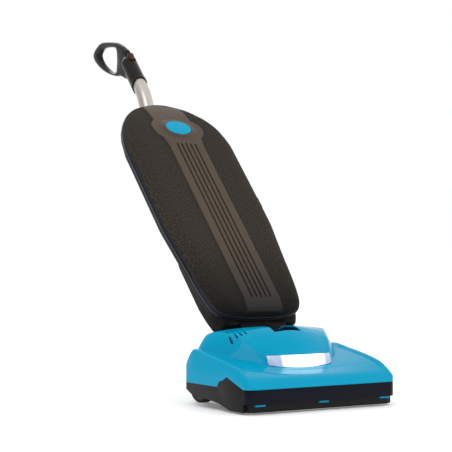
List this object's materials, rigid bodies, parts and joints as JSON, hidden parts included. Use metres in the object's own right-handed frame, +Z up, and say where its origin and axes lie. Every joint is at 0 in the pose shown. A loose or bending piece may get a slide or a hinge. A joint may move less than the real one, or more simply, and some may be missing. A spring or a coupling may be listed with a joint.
{
  "type": "upright vacuum cleaner",
  "caption": "Upright vacuum cleaner: lit cyan floor head with a driven brush, reclining bag housing with a zipped cover, slide-in battery, bent tube and a loop grip.",
  "frame": {"origin": "middle of the bounding box on the floor", "axes": "+X is on the left hand of the user, who stands behind the handle and faces the bumper; +Y runs from the front bumper back to the grip; +Z is up"},
  "size_m": [0.355, 0.9694, 0.8145],
  "materials": {
    "cast_base": "cast alloy with a matt dark coat",
    "cyan_gloss": "moulded, high gloss",
    "black_satin": "moulded, satin",
    "lens_clear": "clear moulded polycarbonate",
    "lamp_white": "lit diffuser",
    "board_green": "circuit board",
    "motor_steel": "drawn and turned steel",
    "cast_alloy": "cast and turned",
    "shell_black": "moulded, fine grain",
    "nylon_grey": "moulded nylon",
    "rubber_black": "moulded rubber",
    "tube_aluminium": "anodised, bright satin",
    "grip_gloss": "dark brown-black, glossy",
    "switch_red": "moulded, dark red",
    "cover_fabric": "coarse woven fabric over foam",
    "spine_satin": "satin, brown-black",
    "badge_cyan": "plain cyan disc with no wording",
    "bag_paper": "filter paper"
  },
  "bodies": {
    "head": {"chassis": "cast_base", "front_bumper": "black_satin", "hood": "cyan_gloss", "headlight_lens": "lens_clear", "lamp_board": "lamp_white", "hood_tab_left": "cyan_gloss", "hood_tab_middle": "cyan_gloss", "hood_tab_right": "cyan_gloss", "brush_plate": "motor_steel", "control_board": "board_green", "motor_case": "motor_steel", "fan_housing": "cast_alloy", "suction_duct": "shell_black", "hinge_bush_left": "nylon_grey", "hinge_bush_right": "nylon_grey", "drive_belt": "rubber_black", "brush_bearing_left": "nylon_grey", "brush_bearing_right": "nylon_grey", "rear_axle": "motor_steel", "wheel_cap_left": "nylon_grey", "wheel_cap_right": "nylon_grey", "roller_pin_left": "motor_steel", "roller_pin_right": "motor_steel", "pedal_pin": "motor_steel", "pedal_spring": "motor_steel"},
    "latch_left": {"plate_latch_left": "black_satin"},
    "latch_right": {"plate_latch_right": "black_satin"},
    "rotor": {"motor_rotor": "motor_steel", "fan_wheel": "cast_alloy", "drive_pulley": "nylon_grey"},
    "brush_roll": {"brush_core": "cast_alloy", "bristle_row_a": "nylon_grey", "bristle_row_b": "nylon_grey", "brush_pulley": "nylon_grey"},
    "wheel_left": {"wheel_hub_left": "nylon_grey", "tyre_left": "rubber_black"},
    "wheel_right": {"wheel_hub_right": "nylon_grey", "tyre_right": "rubber_black"},
    "roller_left": {"front_roller_left": "rubber_black"},
    "roller_right": {"front_roller_right": "rubber_black"},
    "pedal": {"release_pedal": "black_satin"},
    "handle": {"neck": "shell_black", "rear_shell": "shell_black", "zip_tape": "cover_fabric", "bag_collar": "nylon_grey", "dust_bag": "bag_paper", "handle_tube": "tube_aluminium", "tube_collar": "grip_gloss", "tube_clamp": "shell_black", "grip_left": "grip_gloss", "grip_right": "grip_gloss"},
    "switch": {"power_switch": "switch_red"},
    "cover": {"bag_cover": "cover_fabric", "cover_spine": "spine_satin", "badge_ring": "spine_satin", "badge": "badge_cyan"},
    "zip_slide": {"zip_slider": "motor_steel"},
    "zip_tab": {"zip_pull": "motor_steel"},
    "battery": {"battery_pack": "black_satin"},
    "battery_release": {"battery_button": "cyan_gloss"}
  },
  "joints": [
    {"name": "handle_recline", "type": "hinge", "parent": "head", "child": "handle", "pos_m": [0, -0.33466, 0.06], "axis": [-1, 0, 0], "range_deg": [-42.6, 33]},
    {"name": "motor_spin", "type": "hinge", "parent": "head", "child": "rotor", "pos_m": [0, -0.33466, 0.06], "axis": [1, 0, 0], "continuous": true},
    {"name": "brush_spin", "type": "hinge", "parent": "head", "child": "brush_roll", "pos_m": [0, -0.43966, 0.03], "axis": [1, 0, 0], "continuous": true},
    {"name": "wheel_left_spin", "type": "hinge", "parent": "head", "child": "wheel_left", "pos_m": [-0.123, -0.22966, 0.038], "axis": [1, 0, 0], "continuous": true},
    {"name": "wheel_right_spin", "type": "hinge", "parent": "head", "child": "wheel_right", "pos_m": [0.123, -0.22966, 0.038], "axis": [1, 0, 0], "continuous": true},
    {"name": "roller_left_spin", "type": "hinge", "parent": "head", "child": "roller_left", "pos_m": [-0.13, -0.39266, 0.009], "axis": [1, 0, 0], "continuous": true},
    {"name": "roller_right_spin", "type": "hinge", "parent": "head", "child": "roller_right", "pos_m": [0.13, -0.39266, 0.009], "axis": [1, 0, 0], "continuous": true},
    {"name": "pedal_press", "type": "hinge", "parent": "head", "child": "pedal", "pos_m": [0.07, -0.26866, 0.042], "axis": [-1, 0, 0], "range_deg": [0, 12], "stiffness_Nm_per_rad": 0.6, "springref_deg": -6.88, "deforming": ["pedal_spring"]},
    {"name": "latch_left_turn", "type": "hinge", "parent": "head", "child": "latch_left", "pos_m": [-0.096, -0.39666, 0.003], "axis": [0, 0, -1], "range_deg": [0, 90]},
    {"name": "latch_right_turn", "type": "hinge", "parent": "head", "child": "latch_right", "pos_m": [0.096, -0.39666, 0.003], "axis": [0, 0, 1], "range_deg": [0, 90]},
    {"name": "cover_open", "type": "hinge", "parent": "handle", "child": "cover", "pos_m": [0, -0.26482, 0.16831], "axis": [1, 0, 0], "range_deg": [0, 95]},
    {"name": "zip_slide_run", "type": "slide", "parent": "handle", "child": "zip_slide", "axis": [0, 0.6769, 0.7361], "range_m": [0, 0.14]},
    {"name": "zip_tab_swing", "type": "hinge", "parent": "zip_slide", "child": "zip_tab", "pos_m": [0.1408, -0.03042, 0.42322], "axis": [0, -0.7361, 0.6769], "range_deg": [0, 150]},
    {"name": "battery_slide", "type": "slide", "parent": "handle", "child": "battery", "axis": [0, 0.7361, -0.6769], "range_m": [0, 0.06]},
    {"name": "battery_release_press", "type": "slide", "parent": "battery", "child": "battery_release", "axis": [0, -0.7361, 0.6769], "range_m": [0, 0.003], "stiffness_N_per_m": 300, "springref_m": -0.002},
    {"name": "switch_rock", "type": "hinge", "parent": "handle", "child": "switch", "pos_m": [0, 0.29972, 0.76318], "axis": [1, 0, 0], "range_deg": [-6, 6]}
  ],
  "couplings": [
    {"joint": "brush_spin", "follows": "motor_spin", "ratio": 0.52941}
  ]
}
